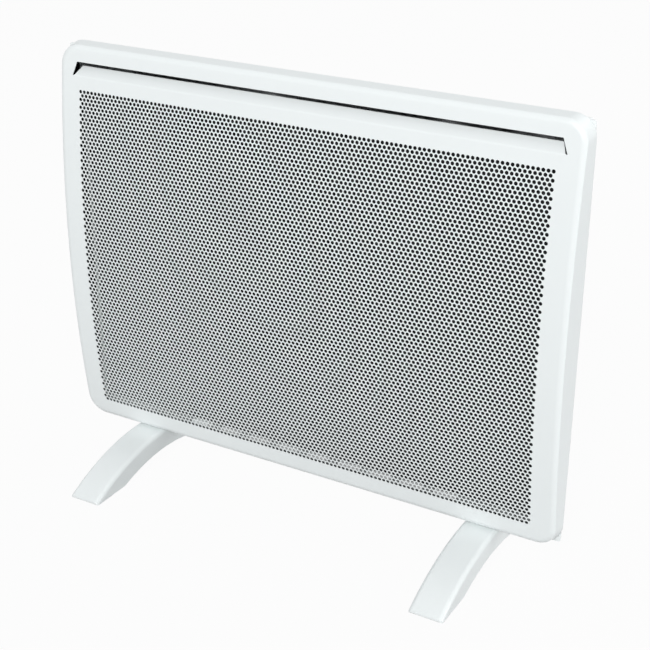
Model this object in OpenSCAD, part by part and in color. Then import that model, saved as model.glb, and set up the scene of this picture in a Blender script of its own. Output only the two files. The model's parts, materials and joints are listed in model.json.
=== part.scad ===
/* [Casing] */
// Width of the casing
casing_w = 606; // [560:1:680]
// Height of the casing
casing_h = 455; // [430:1:520]
// Height of the casing's underside above the floor
casing_z = 37.5; // [34:0.5:50]
// Distance from the middle of the feet forward to the middle of the bowed front
front_reach = 18.4; // [14:0.1:24]
// Depth of the front panel at the middle of its side
panel_depth = 32.4; // [29:0.1:38]
// Radius of the bow of the front, seen from the side
bow_r = 1508; // [1300:1:1900]
// Radius of the casing's corners, seen from the front
corner_r = 22; // [18:0.5:30]
// Radius of the rounded edge round the front
edge_r = 8.5; // [6:0.5:10]
// Thickness of the front sheet
sheet_t = 1.2; // [0.9:0.1:1.5]
// Width of the front panel's inward return at the back
return_w = 13; // [12:0.5:14]

/* [Perforations] */
// Distance between neighbouring holes in a row
hole_pitch = 15; // [13:0.5:24]
// Diameter of a hole
hole_d = 10.5; // [4:0.5:11.5]
// Distance between rows as a share of the hole pitch
row_ratio = 0.851; // [0.8:0.001:0.95]
// Least distance from the casing's side to the middle of a hole
field_side = 30.5; // [24:0.5:60]
// Distance from the casing's top to the middle of the highest row
field_top = 55.5; // [44:0.5:80]
// Least distance from the casing's underside to the middle of a hole
field_bottom = 29.5; // [27:0.5:60]

/* [Outlet slot] */
// Width of the slot along its upper edge
slot_w = 556; // [500:1:557]
// How far the slot's slanted ends run out at the fold, on each side
slot_flare = 5.6; // [2:0.2:8]
// Height of the slot
slot_h = 14.8; // [12:0.2:15.5]
// Distance from the casing's top to the slot's upper edge
slot_drop = 19.8; // [17:0.2:21]
// Length of the lip folded in from the slot's lower edge
lip_len = 13.3; // [10:0.1:14]
// Angle by which the lip is folded inwards from upright
lip_angle = 47; // [40:1:55]

/* [Rear tray] */
// Thickness of the tray's sheet
tray_t = 1; // [0.8:0.1:1.4]
// Depth of the tray
tray_depth = 41.7; // [39:0.1:48]
// Radius of the tray's pressed edges
tray_edge_r = 4; // [2.5:0.5:4.5]
// Distance from the casing's side to the tray's side wall
tray_side = 17; // [16:0.5:19]
// Distance from the casing's top to the tray's top wall
tray_top = 14.5; // [13.5:0.5:15.5]
// Distance from the casing's underside to the tray's bottom wall
tray_bottom = 3.5; // [3:0.5:5]
// Distance from the casing's side to the flange's edge
flange_side = 1.7; // [1:0.1:3]
// Distance from the casing's top to the flange's edge
flange_top = 5; // [3:0.5:6]
// Distance from the casing's underside to the flange's edge
flange_bottom = 1.5; // [1:0.1:2]
// Length of a louvre in the tray's back
louvre_w = 92; // [60:1:96]
// Radius of a louvre's hood
louvre_r = 6; // [4:0.5:7]
// Distance between rows of louvres
louvre_pitch = 24; // [18:1:28]
// Rows of intake louvres low in the back
louvre_rows = 4; // [1:1:5]
// Length of an intake slot in the tray's underside
intake_w = 28; // [20:1:32]
// Distance between neighbouring screws along the casing's top
top_screw_gap = 200; // [160:5:230]
// Distance between the two wall keyholes
keyhole_span = 220; // [160:1:230]

/* [Radiant plate] */
// Distance from the casing's side to the plate's edge
plate_side = 28; // [26:0.5:32]
// Distance from the casing's top to the plate's edge
plate_top = 52.5; // [50:0.5:70]
// Distance from the casing's underside to the plate's edge
plate_bottom = 30; // [25:0.5:45]
// Distance from the front panel's back edge forward to the plate's back face
plate_reach = 10; // [9:0.5:11]
// Thickness of the plate between its ribs
plate_t = 2; // [1.5:0.1:3]
// Height of the plate's ribs
rib_h = 1.2; // [0.6:0.1:2]
// Distance between the plate's ribs
rib_pitch = 14.5; // [10:0.5:25]

/* [Heating element] */
// Diameter of the sheathed tube
tube_d = 8; // [6.5:0.1:8.5]
// Distance from the plate's edge to the tube's bends
bend_side = 56; // [54:1:70]
// Distance between neighbouring passes of the tube
pass_pitch = 58; // [50:1:62]
// Passes of the tube across the plate
passes = 6; // [2:2:6]
// Length of a terminal stud past the ceramic seal
stud_len = 9; // [6:0.5:11]

/* [Frame inside] */
// Width of an upright's flanges
upright_w = 20; // [18:0.5:22]
// Thickness of an upright's sheet
upright_t = 1; // [0.8:0.1:1.5]
// Thickness of the reflector
reflector_t = 0.8; // [0.5:0.1:1]
// Distance from the radiant plate's back face to the reflector
reflector_gap = 20; // [18:0.5:24]

/* [Feet] */
// Width of a foot
foot_w = 38.5; // [34:0.5:44]
// Length of a foot from tip to tip
foot_len = 249; // [230:1:280]
// Distance from the casing's side to the middle of a foot
foot_side_gap = 88; // [73:0.5:103]
// Height of a foot's arched back at its middle
foot_h = 36; // [34:0.5:37]
// Radius of a foot's arched back
foot_back_r = 262; // [258:1:400]
// Radius of the rounded edges along a foot
foot_edge_r = 5; // [3:0.5:7]
// Radius of the corners of a foot's tips, seen from above
foot_tip_r = 4; // [2:0.5:6]
// Height of the arch under a foot
arch_h = 12.9; // [10:0.1:14]
// Length of the arch under a foot
arch_len = 149; // [130:1:155]
// Wall of the hollow foot
foot_wall = 3; // [2.5:0.1:4]
// Width of a rubber pad
pad_w = 24; // [18:0.5:28]
// Length of a rubber pad
pad_len = 28; // [20:0.5:30]
// How far a pad stands out under the foot
pad_proud = 0.6; // [0.4:0.1:1]

/* [Controls] */
// Width of the control housing
housing_w = 132; // [128:1:140]
// Height of the control housing
housing_h = 124; // [118:1:140]
// Depth of the control housing
housing_depth = 44; // [42:0.5:48]
// Wall of the control housing
housing_wall = 2.2; // [1.8:0.1:2.6]
// Distance from the casing's side to the control housing
housing_side = 31; // [25:1:45]
// Distance from the casing's top to the control housing
housing_drop = 46.5; // [44:0.5:60]
// Diameter of the thermostat knob
knob_d = 34; // [28:0.5:36]
// Height of the thermostat knob
knob_h = 15; // [12:0.5:16]
// Diameter of the thermostat's shaft
shaft_d = 6; // [5:0.1:6.4]
// Length of the rocker of the switch
rocker_len = 20; // [16:0.5:22]
// Width of the rocker of the switch
rocker_w = 10.8; // [9:0.1:12]
// Diameter of the cord's way through the gland
cord_way_d = 7.2; // [6:0.1:8]

/* [Hidden] */
$fn = 72;
seat = 0.3;
run = 0.05;
proud = 0.05;
white = [0.91, 0.92, 0.92];
steel = [0.75, 0.76, 0.78];
zinc = [0.62, 0.64, 0.66];
alloy = [0.84, 0.85, 0.86];
ceramic = [0.93, 0.91, 0.86];
plastic = [0.88, 0.89, 0.89];
rubber = [0.12, 0.12, 0.12];

half_w = casing_w / 2;
mid_z = casing_z + casing_h / 2;
top_z = casing_z + casing_h;
front_y = -front_reach;
back_y = front_y + panel_depth;
bow_y = front_y + bow_r;
row_pitch = hole_pitch * row_ratio;
row_step = row_pitch / bow_r * 180 / PI;
top_turn = asin((casing_h / 2 - field_top) / bow_r);
low_turn = asin((casing_h / 2 - field_bottom) / bow_r);
hole_rows = floor((top_turn + low_turn) / row_step) + 1;

tray_y = back_y + seat;
tray_back = tray_y + tray_depth;
tray_wall_x = half_w - tray_side;
tray_low = casing_z + tray_bottom;
tray_high = top_z - tray_top;
screw_x = half_w - (tray_side + flange_side) / 2;
screw_z = top_z - (tray_top + flange_top) / 2;
side_screw_z = [mid_z - casing_h * 0.385, mid_z, mid_z + casing_h * 0.385];
top_screw_x = [-top_screw_gap, 0, top_screw_gap];

plate_back = back_y - plate_reach;
plate_half = half_w - plate_side;
plate_low = casing_z + plate_bottom;
plate_high = top_z - plate_top;
plate_mid = (plate_low + plate_high) / 2;
tube_y = plate_back + 0.2 + tube_d / 2;
bend_x = plate_half - bend_side;

bush_y = plate_back + tube_d + 0.5;
upright_x = plate_half - upright_w;
bush_x = upright_x + upright_w / 2;
bush_inset = 16;
bush_z = [plate_low + bush_inset, plate_mid, plate_high - bush_inset];
notch_w = tube_d + 10;
upright_front = bush_y + 0.2;
upright_back = tray_back - tray_t - 0.2;
reflector_y = plate_back + reflector_gap;

housing_x = half_w - housing_side - housing_w / 2;
housing_y = tray_back + 0.2;
housing_back = housing_y + housing_depth;
housing_high = top_z - housing_drop;
housing_low = housing_high - housing_h;
knob_x = housing_x + housing_w * 0.24;
knob_y = housing_y + housing_depth / 2 + 1;
switch_x = housing_x - housing_w * 0.27;

// Draws in the upright plane, x across and y up from the floor, from depth y0 to depth y1
module upright(y0, y1) {
    translate([0, y1, 0]) rotate([90, 0, 0]) linear_extrude(y1 - y0) children();
}

// Draws in the side plane, x towards the back and y up from the floor, from x0 to x1
module sideways(x0, x1) {
    translate([x0, 0, 0]) rotate([90, 0, 90]) linear_extrude(x1 - x0) children();
}

module rounded_rect(x0, x1, z0, z1, r) {
    translate([x0 + r, z0]) square([x1 - x0 - 2 * r, z1 - z0]);
    translate([x0, z0 + r]) square([x1 - x0, z1 - z0 - 2 * r]);
    for (x = [x0 + r, x1 - r], z = [z0 + r, z1 - r]) translate([x, z]) circle(r = r);
}

// A slot with round ends, centred, its length along x
module slot_2d(length, width) {
    square([length - width, width], center = true);
    for (side = [-1, 1]) translate([side * (length - width) / 2, 0]) circle(d = width);
}

module screw(shank_r, length, head_r, head_h) {
    cylinder(r = shank_r, h = length);
    translate([0, 0, -head_h]) difference() {
        cylinder(r = head_r, h = head_h);
        for (turn = [0, 90]) rotate(turn) translate([-head_r * 0.55, -0.4, -1])
            cube([head_r * 1.1, 0.8, 1 + head_h * 0.5]);
    }
}

// Corner of the bowed front over row i, counted up from the highest row of holes: the sheet lies in flat strips,
// one under each row
function strip_point(radius, i) = let (turn = top_turn + (i + 0.5) * row_step, r = radius / cos(row_step / 2))
    [bow_y - r * cos(turn), r * sin(turn)];

// Side view of the front panel, with its rounded upper and lower edges in short flats
module panel_side(inset, depth) {
    r = edge_r - inset;
    half = casing_h / 2 - inset;
    radius = bow_r - inset;
    centre_y = bow_y - sqrt(pow(radius - r, 2) - pow(half - r, 2));
    meet = asin((half - r) / (radius - r));
    first = ceil((-meet - top_turn) / row_step - 0.5);
    last = floor((meet - top_turn) / row_step - 0.5);
    flats = 6;
    upper = [for (k = [0 : flats]) let (turn = meet + k * (90 - meet) / flats)
        [centre_y - r * cos(turn), half - r + r * sin(turn)]];
    lower = [for (k = [flats : -1 : 0]) [upper[k][0], -upper[k][1]]];
    front = [for (i = [first : last]) strip_point(radius, i)];
    polygon(concat([[back_y + depth, -half]], lower, front, upper, [[back_y + depth, half]]));
}

// Section of the slab that the panel is bent from, its outer edges rounded
module slab_section(inset) {
    r = edge_r - inset;
    half = half_w - inset;
    radius = bow_r - inset + proud;
    depth = panel_depth + 28;
    translate([radius - depth, -half]) square([depth - r, 2 * half]);
    translate([radius - depth, r - half]) square([depth, 2 * (half - r)]);
    for (side = [-1, 1]) translate([radius - r, side * (half - r)]) circle(r = r);
}

module bent_slab(inset) {
    spread = 2 * asin(casing_h / 2 / bow_r) + 3;
    translate([0, bow_y, 0]) rotate([0, 90, 0]) rotate([0, 0, 270 - spread / 2])
        rotate_extrude(angle = spread, $fn = 360) slab_section(inset);
}

module panel_outline(inset) {
    ease = 0.02;
    half = half_w - inset + ease;
    half_h = casing_h / 2 - inset + ease;
    rounded_rect(-half, half, -half_h, half_h, corner_r - inset);
}

// Depth of the centre of the rounded edge at height z over the panel's middle
function edge_y(z) = bow_y - sqrt(pow(bow_r - edge_r, 2) - pow(z, 2));

// What the press takes off each corner so that the rounded edge runs round it
module corner_waste(inset) {
    r = edge_r - inset;
    spare = 0.1;
    low = casing_h / 2 - corner_r;
    high = casing_h / 2 - edge_r;
    tilt = atan2(edge_y(high) - edge_y(low), high - low);
    turn_r = corner_r - edge_r + spare;
    rise = corner_r - (corner_r + spare) * cos(tilt) + spare;
    for (x = [-1, 1], z = [-1, 1]) scale([x, 1, z]) translate([half_w - corner_r, edge_y(low), low + rise])
        rotate([-tilt, 0, 0]) translate([0, -proud, 0]) difference() {
            translate([0, -r - 8, 0]) cube([corner_r + 8, r + 8, corner_r + 8]);
            rotate([-90, 0, 0]) rotate_extrude() {
                translate([0, -r]) square([turn_r, r + 4]);
                square([turn_r + r, 4]);
                translate([turn_r, 0]) circle(r = r);
            }
        }
}

// The panel's outer form, or with an inset the space inside it
module panel_form(inset, depth) {
    translate([0, 0, mid_z]) difference() {
        intersection() {
            sideways(-half_w - 5, half_w + 5) panel_side(inset, depth);
            bent_slab(inset);
            upright(front_y - 5, back_y + depth) panel_outline(inset);
        }
        corner_waste(inset);
    }
}

module perforations() {
    gaps = floor((casing_w - 2 * field_side) / hole_pitch);
    for (row = [0 : hole_rows - 1]) {
        n = gaps - row % 2;
        translate([0, bow_y, mid_z]) rotate([row * row_step - top_turn, 0, 0])
            for (i = [0 : n]) translate([(i - n / 2) * hole_pitch, 3 - bow_r, 0])
                rotate([90, 0, 0]) cylinder(d = hole_d, h = 6);
    }
}

// Slot and lip
slot_high = top_z - slot_drop;
fold_z = slot_high - slot_h;
fold_y = bow_y - sqrt(pow(bow_r, 2) - pow(fold_z - mid_z, 2));

module lip() {
    half = slot_w / 2;
    inside = 0.15;
    translate([0, fold_y + inside, fold_z - inside]) rotate([-lip_angle, 0, 0]) upright(0, sheet_t)
        polygon([[-half - slot_flare, 0], [half + slot_flare, 0], [half, lip_len], [-half, lip_len]]);
}

module front_panel() color(white) {
    half = slot_w / 2;
    inner_y = back_y - sheet_t;
    opening_x = half_w - sheet_t - return_w;
    union() {
        difference() {
            panel_form(0, 0);
            panel_form(sheet_t, -sheet_t);
            upright(inner_y - 1, back_y + 1) rounded_rect(-opening_x, opening_x,
                casing_z + sheet_t + return_w - 3, top_z - sheet_t - return_w, corner_r - 12);
            upright(front_y - 5, 6) polygon([[-half - slot_flare, fold_z], [half + slot_flare, fold_z],
                [half, slot_high], [-half, slot_high]]);
            perforations();
            for (x = [-screw_x, screw_x], z = side_screw_z) upright(inner_y - 1, back_y + 1)
                translate([x, z]) circle(r = 1.5 + run);
            for (x = top_screw_x) upright(inner_y - 1, back_y + 1) translate([x, screw_z]) circle(r = 1.5 + run);
        }
        lip();
    }
}

module casing_screws() color(zinc) {
    flange_back = tray_y + tray_t;
    for (x = [-screw_x, screw_x], z = side_screw_z) translate([x, flange_back, z])
        rotate([90, 0, 0]) screw(1.5, 6, 3.4, 2);
    for (x = top_screw_x) translate([x, flange_back, screw_z]) rotate([90, 0, 0]) screw(1.5, 6, 3.4, 2);
}

// Rear tray
louvre_low = tray_low + 46;
louvre_high = tray_high - 100;
louvre_x = [for (i = [-1.5 : 1.5]) i * 112];
keyhole_z = tray_high - 68;
key_r = 5;
window_w = 70;
window_low = housing_low + 54;
window_high = housing_high - 34;
housing_screw_x = [housing_x - housing_w / 2 + 9, housing_x + housing_w / 2 - 24];
housing_screw_z = [housing_low + 10, housing_high - 44];

module louvre_hood() {
    intersection() {
        difference() {
            rotate([0, 90, 0]) cylinder(r = louvre_r, h = louvre_w, center = true);
            rotate([0, 90, 0]) cylinder(r = louvre_r - tray_t, h = louvre_w - 2 * tray_t, center = true);
        }
        translate([-louvre_w, -tray_t / 2, 0]) cube([2 * louvre_w, 2 * louvre_r, 2 * louvre_r]);
    }
}

module at_louvres() {
    for (x = louvre_x, row = [0 : louvre_rows - 1])
        translate([x, tray_back, louvre_low + row * louvre_pitch]) children();
    for (i = [0 : 1], row = [0 : 1]) translate([louvre_x[i], tray_back, louvre_high - row * louvre_pitch]) children();
}

module keyholes() {
    for (x = [-keyhole_span / 2, keyhole_span / 2]) translate([x, keyhole_z]) {
        circle(r = key_r);
        translate([-2.5, 0]) square([5, 12]);
        translate([0, 12]) circle(r = 2.5);
    }
}

// The tray's outer form from depth y0 back, or with an inset the space inside it
module tray_form(inset, y0) {
    ease = 0.02;
    r = tray_edge_r - inset;
    half = tray_wall_x - inset;
    low = tray_low + inset;
    high = tray_high - inset;
    back = tray_back - inset;
    intersection() {
        upright(y0, back) rounded_rect(-half, half, low, high, tray_edge_r + 2 - inset);
        sideways(-half - 5, half + 5) rounded_rect(y0 - 20, back + ease, low - ease, high + ease, r);
        translate([0, 0, low - 5]) linear_extrude(high - low + 10)
            rounded_rect(-half - ease, half + ease, y0 - 20, back + ease, r);
    }
}

module rear_tray() color(white) {
    flange_x = half_w - flange_side;
    difference() {
        union() {
            upright(tray_y, tray_y + tray_t)
                rounded_rect(-flange_x, flange_x, casing_z + flange_bottom, top_z - flange_top, 3);
            tray_form(0, tray_y);
            at_louvres() louvre_hood();
        }
        tray_form(tray_t, tray_y - 1);
        at_louvres() translate([tray_t - louvre_w / 2, -2 * tray_t, 0])
            cube([louvre_w - 2 * tray_t, 3 * tray_t, louvre_r - tray_t]);
        upright(tray_back - 2 * tray_t, tray_back + tray_t) {
            keyholes();
            rounded_rect(housing_x - window_w / 2, housing_x + window_w / 2, window_low, window_high, 4);
            for (x = housing_screw_x, z = housing_screw_z) translate([x, z]) circle(r = 1.5 + run);
            for (side = [-1, 1], z = bush_z) translate([side * bush_x, z]) circle(r = 2 + run);
        }
        for (i = [-4 : 4]) translate([i * (intake_w + 12), (tray_y + tray_back) / 2, tray_low - 1])
            linear_extrude(tray_t + 2) slot_2d(intake_w, 12);
        for (x = [-screw_x, screw_x], z = side_screw_z) upright(tray_y - 1, tray_y + 2)
            translate([x, z]) circle(r = 2);
        for (x = top_screw_x) upright(tray_y - 1, tray_y + 2) translate([x, screw_z]) circle(r = 2);
        at_foot_screws() translate([0, 0, tray_low - 1]) cylinder(d = foot_hole_d, h = tray_t + 2);
    }
}

// Radiant plate with its ribs towards the front
module radiant_plate() color(alloy) {
    ribs = floor((plate_high - plate_low - 10) / rib_pitch / 2);
    difference() {
        sideways(-plate_half, plate_half) {
            translate([plate_back - plate_t, plate_low]) square([plate_t, plate_high - plate_low]);
            for (i = [-ribs : ribs]) translate([plate_back - plate_t - rib_h, plate_mid + i * rib_pitch - 1.5])
                square([rib_h + 0.5, 3]);
        }
        for (side = [-1, 1], z = bush_z) translate([side * bush_x, plate_back + 1, z])
            rotate([90, 0, 0]) cylinder(r = 4.2, h = plate_t + rib_h + 2);
        for (side = [-1, 1], z = bush_z) translate([side * bush_x - 8, plate_back - plate_t - rib_h - 1, z - 8])
            cube([16, rib_h + 1, 16]);
    }
}

pass_z = [for (i = [0 : passes - 1]) plate_mid + (i - (passes - 1) / 2) * pass_pitch];
seal_len = 12;
tube_end = bend_x + 14;
clip_x = [-bend_x * 0.62, 0, bend_x * 0.62];

module tube_pass(x0, x1) {
    translate([x0, 0, 0]) rotate([0, 90, 0]) cylinder(d = tube_d, h = x1 - x0);
}

module heating_element() color(steel) {
    bend_r = pass_pitch / 2;
    for (i = [0 : passes - 1]) translate([0, tube_y, pass_z[i]])
        tube_pass(-bend_x, i == 0 || i == passes - 1 ? tube_end : bend_x);
    for (i = [0 : passes - 2]) translate([i % 2 == 0 ? -bend_x : bend_x, tube_y, pass_z[i] + bend_r])
        rotate([90, 0, 0]) rotate([0, 0, i % 2 == 0 ? 90 : -90])
            rotate_extrude(angle = 180) translate([bend_r, 0]) circle(d = tube_d);
}

module element_seals() color(ceramic) {
    for (z = [pass_z[0], pass_z[passes - 1]]) translate([tube_end, tube_y, z])
        rotate([0, 90, 0]) difference() {
            union() {
                cylinder(d = tube_d, h = seal_len);
                translate([0, 0, seal_len]) cylinder(d1 = tube_d - 1, d2 = tube_d - 3, h = 3);
            }
            translate([0, 0, -1]) cylinder(r = 1.5 + run, h = seal_len + 5);
        }
}

module element_studs() color(steel) {
    for (z = [pass_z[0], pass_z[passes - 1]]) translate([tube_end, tube_y, z]) rotate([0, 90, 0]) {
        cylinder(r = 1.5, h = seal_len + 3 + stud_len);
        translate([0, 0, seal_len + 3]) cylinder(r = 3.2, h = 2.4, $fn = 6);
    }
}

// Saddle clips riveted to the plate over the tube
module element_clips() color(alloy) {
    clip_t = 0.8;
    for (x = clip_x, z = pass_z) translate([x, plate_back, z]) {
        rotate([0, 90, 0]) translate([0, 0, -7]) linear_extrude(14) difference() {
            union() {
                translate([0, 0.2 + tube_d / 2]) circle(r = tube_d / 2 + 0.1 + clip_t);
                translate([-tube_d / 2 - 0.1 - clip_t, 0]) square([tube_d + 0.2 + 2 * clip_t, tube_d / 2 + 0.2]);
                translate([-tube_d / 2 - 9, 0]) square([tube_d + 18, clip_t]);
            }
            translate([0, 0.2 + tube_d / 2]) circle(r = tube_d / 2 + 0.1);
            translate([-tube_d / 2 - 0.1, -1]) square([tube_d + 0.2, tube_d / 2 + 1.2]);
        }
        for (side = [-1, 1]) translate([0, clip_t - 0.1, side * (tube_d / 2 + 5.5)])
            rotate([-90, 0, 0]) cylinder(r1 = 2.4, r2 = 1.6, h = 1.3);
    }
}

module plate_bushes() color(ceramic) {
    for (side = [-1, 1], z = bush_z) translate([side * bush_x, plate_back, z]) rotate([-90, 0, 0]) difference() {
        union() {
            translate([0, 0, 0]) cylinder(r = 7, h = bush_y - plate_back);
            translate([0, 0, -plate_t - 0.5]) cylinder(r = 4, h = plate_t + 1);
        }
        translate([0, 0, -plate_t - 2]) cylinder(r = 2.1, h = tube_d + plate_t + 4);
    }
}

module plate_screws() color(zinc) {
    head_y = plate_back - plate_t - 0.5;
    for (side = [-1, 1], z = bush_z) translate([side * bush_x, head_y, z]) rotate([-90, 0, 0]) {
        screw(2, upright_front + upright_t + 3 - head_y, 5.5, 2.4);
        translate([0, 0, upright_front + upright_t - head_y]) cylinder(r = 3.8, h = 2.6, $fn = 6);
    }
}

module side_upright() {
    difference() {
        translate([0, 0, plate_low + 2]) linear_extrude(plate_high - plate_low - 4) {
            translate([upright_x, upright_front]) square([upright_w, upright_t]);
            translate([upright_x, upright_front]) square([upright_t, upright_back - upright_front]);
            translate([upright_x, upright_back - upright_t]) square([upright_w, upright_t]);
        }
        for (z = bush_z) {
            translate([bush_x, upright_front - 1, z]) rotate([-90, 0, 0]) cylinder(r = 2 + run, h = upright_t + 2);
            translate([bush_x, upright_back - upright_t - 1, z]) rotate([-90, 0, 0]) cylinder(r = 2 + run, h = upright_t + 2);
        }
        for (z = [pass_z[0], pass_z[passes - 1]])
            translate([upright_x - 1, upright_front - 1, z - notch_w / 2])
                cube([upright_w + 2, 1 + reflector_gap / 3, notch_w]);
    }
}

module left_upright() color(zinc) mirror([1, 0, 0]) side_upright();
module right_upright() color(zinc) side_upright();

module upright_screws() color(zinc) {
    for (side = [-1, 1], z = bush_z) translate([side * bush_x, tray_back, z]) rotate([90, 0, 0]) {
        screw(2, tray_back - upright_back + upright_t + 5, 3.8, 2);
        translate([0, 0, tray_back - upright_back + upright_t]) cylinder(r = 3.8, h = 3, $fn = 6);
    }
}

// Bright sheet behind the element, with a flange at each side
reflector_turn = 12;
reflector_drop = 6;
module reflector() color([0.9, 0.9, 0.91]) {
    half = upright_x - 0.3;
    turn = reflector_turn;
    low = plate_low - reflector_drop;
    difference() {
        translate([0, 0, low]) linear_extrude(plate_high - low + 4) {
            translate([-half, reflector_y]) square([2 * half, reflector_t]);
            for (side = [-1, 1]) translate([side * (half - reflector_t / 2) - reflector_t / 2, reflector_y])
                square([reflector_t, turn]);
        }
        for (x = [-1, 1]) translate([cutout_x + x * 12, reflector_y - 1, cutout_z]) rotate([-90, 0, 0])
            cylinder(r = 1.5 + run, h = 3);
    }
}

// Disc cut-out with its two ears and tabs
cutout_x = 96;
cutout_z = plate_high - 22;
module overheat_cutout() color([0.3, 0.3, 0.32]) {
    base_y = reflector_y + reflector_t;
    translate([cutout_x, base_y, cutout_z]) rotate([-90, 0, 0]) {
        difference() {
            linear_extrude(0.8) {
                square([24, 6], center = true);
                for (side = [-1, 1]) translate([side * 12, 0]) circle(r = 3);
            }
            for (side = [-1, 1]) translate([side * 12, 0, -1]) cylinder(r = 1.5 + run, h = 3);
        }
        translate([0, 0, 0.4]) cylinder(r = 8, h = 5);
        translate([0, 0, 5]) cylinder(r = 7, h = 4);
        for (side = [-1, 1]) translate([side * 4 - 0.4, -2.4, 8]) cube([0.8, 4.8, 8]);
    }
}

module cutout_screws() color(zinc) {
    for (side = [-1, 1]) translate([cutout_x + side * 12, reflector_y + reflector_t + 0.8, cutout_z])
        rotate([90, 0, 0]) screw(1.5, 4, 2.6, 1.4);
}

// Bent sheet that turns the rising air forward to the slot
deflector_t = 0.8;
deflector_low = plate_high + 8;
rivet_z = deflector_low - 6;
rivet_x = [-180, -60, 60, 180];
module outlet_deflector() color(steel) {
    half = upright_x - 6;
    outer_y = tray_back - tray_t;
    roof_z = tray_high - tray_t - 0.3;
    bend = roof_z - deflector_low;
    difference() {
        sideways(-half, half) {
            translate([outer_y - deflector_t, deflector_low - 12]) square([deflector_t, 12.1]);
            intersection() {
                translate([outer_y - bend, deflector_low]) difference() {
                    circle(r = bend);
                    circle(r = bend - deflector_t);
                }
                translate([outer_y - bend, deflector_low]) square([bend + 1, bend + 1]);
            }
            translate([back_y + 1, roof_z - deflector_t]) square([outer_y - bend - back_y - 0.9, deflector_t]);
        }
        for (x = rivet_x) translate([x, outer_y - 3, rivet_z]) rotate([-90, 0, 0]) cylinder(r = 1.6 + run, h = 4);
    }
}

module deflector_rivets() color(alloy) {
    for (x = rivet_x) translate([x, tray_back - tray_t - deflector_t, rivet_z]) rotate([90, 0, 0]) {
        translate([0, 0, -deflector_t]) cylinder(r = 1.6, h = deflector_t + 0.1);
        cylinder(r1 = 3.2, r2 = 2, h = 1.2);
    }
}

// Control housing: moulded box, open towards the tray
boss_r = 4;
top_wall_z = housing_high - housing_wall;
board_z = top_wall_z - 17;

module housing_form(inset) {
    ease = 0.02;
    r = 9 - inset;
    half = housing_w / 2 - inset;
    low = housing_low + inset;
    high = housing_high - inset;
    intersection() {
        upright(housing_y - 10, housing_back - inset)
            rounded_rect(housing_x - half, housing_x + half, low, high, r);
        sideways(housing_x - housing_w, housing_x + housing_w)
            rounded_rect(housing_y - 30, housing_back - inset + ease, low - ease, high + ease, r);
    }
}

module control_housing() color(plastic) {
    difference() {
        union() {
            difference() {
                housing_form(0);
                housing_form(housing_wall);
            }
            intersection() {
                housing_form(0.5);
                for (x = housing_screw_x, z = housing_screw_z) translate([x, housing_y - 1, z])
                    rotate([-90, 0, 0]) cylinder(r = boss_r + 1, h = housing_depth + 2);
            }
            for (side = [-1, 1]) translate([housing_x + side * (housing_w / 2 - housing_wall / 2) - 4, housing_y + 8, board_z - 7])
                intersection() {
                    cube([8, housing_depth - 16, 7 - seat]);
                    translate([side > 0 ? 0 : 3.5, 0, 0]) cube([4.5, housing_depth, 8]);
                }
        }
        translate([housing_x - housing_w, housing_y - 40, housing_low - 10]) cube([2 * housing_w, 40, housing_h + 20]);
        for (x = housing_screw_x, z = housing_screw_z) translate([x, housing_y, z]) rotate([-90, 0, 0]) {
            translate([0, 0, -1]) cylinder(r = 1.8, h = housing_depth);
            translate([0, 0, 4]) cylinder(r = 3.4, h = housing_depth);
        }
        translate([knob_x, knob_y, top_wall_z - 1]) cylinder(r = 4.5 + run, h = housing_wall + 2);
        translate([switch_x, knob_y, top_wall_z - 1]) linear_extrude(housing_wall + 2)
            square([frame_len + 2 * run, frame_w + 2 * run], center = true);
        translate([lens_x, knob_y, top_wall_z - 1]) cylinder(r = 3 + run, h = housing_wall + 2);
        translate([gland_x, gland_y, housing_low - 1]) cylinder(r = gland_r + run, h = housing_wall + 2);
        for (i = [-3 : 3]) translate([housing_x + i * 9 - 2, housing_back - 2 * housing_wall, housing_low + 22])
            cube([4, 3 * housing_wall, 34]);
    }
}

module housing_screws() color(zinc) {
    for (x = housing_screw_x, z = housing_screw_z) translate([x, housing_y + 4, z])
        rotate([90, 0, 0]) screw(1.5, 4 + tray_t + 4, 3.1, 2.2);
}

// Thermostat: body and bush under the housing's top wall, shaft, nut and knob
collar_r = 5;
module thermostat_body() color([0.2, 0.25, 0.4]) {
    shaft_r = shaft_d / 2;
    translate([knob_x, knob_y, top_wall_z]) difference() {
        union() {
            translate([0, 0, -9.3]) cylinder(r = 8.5, h = 9);
            translate([0, 0, -1]) cylinder(r = 4.5, h = 1 + housing_wall + 4);
            translate([0, 0, -12.6]) for (i = [-1 : 1]) translate([i * 5 - 0.5, 6.2, 0]) cube([1, 0.6, 4]);
        }
        translate([0, 0, -10]) cylinder(r = collar_r + 0.4, h = 4);
        translate([0, 0, -7]) cylinder(r = shaft_r + run, h = 20);
    }
}

module thermostat_nut() color(zinc) {
    translate([knob_x, knob_y, housing_high]) difference() {
        cylinder(r = 7.2, h = 2.4, $fn = 6);
        translate([0, 0, -1]) cylinder(r = 4.5 + run, h = 5);
    }
}

knob_z = housing_high + seat;
module thermostat_shaft() color(steel) {
    low = top_wall_z - 8.6;
    translate([knob_x, knob_y, low]) {
        cylinder(r = collar_r, h = 2.2);
        cylinder(d = shaft_d, h = knob_z + knob_h - 4 - low);
    }
}

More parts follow.
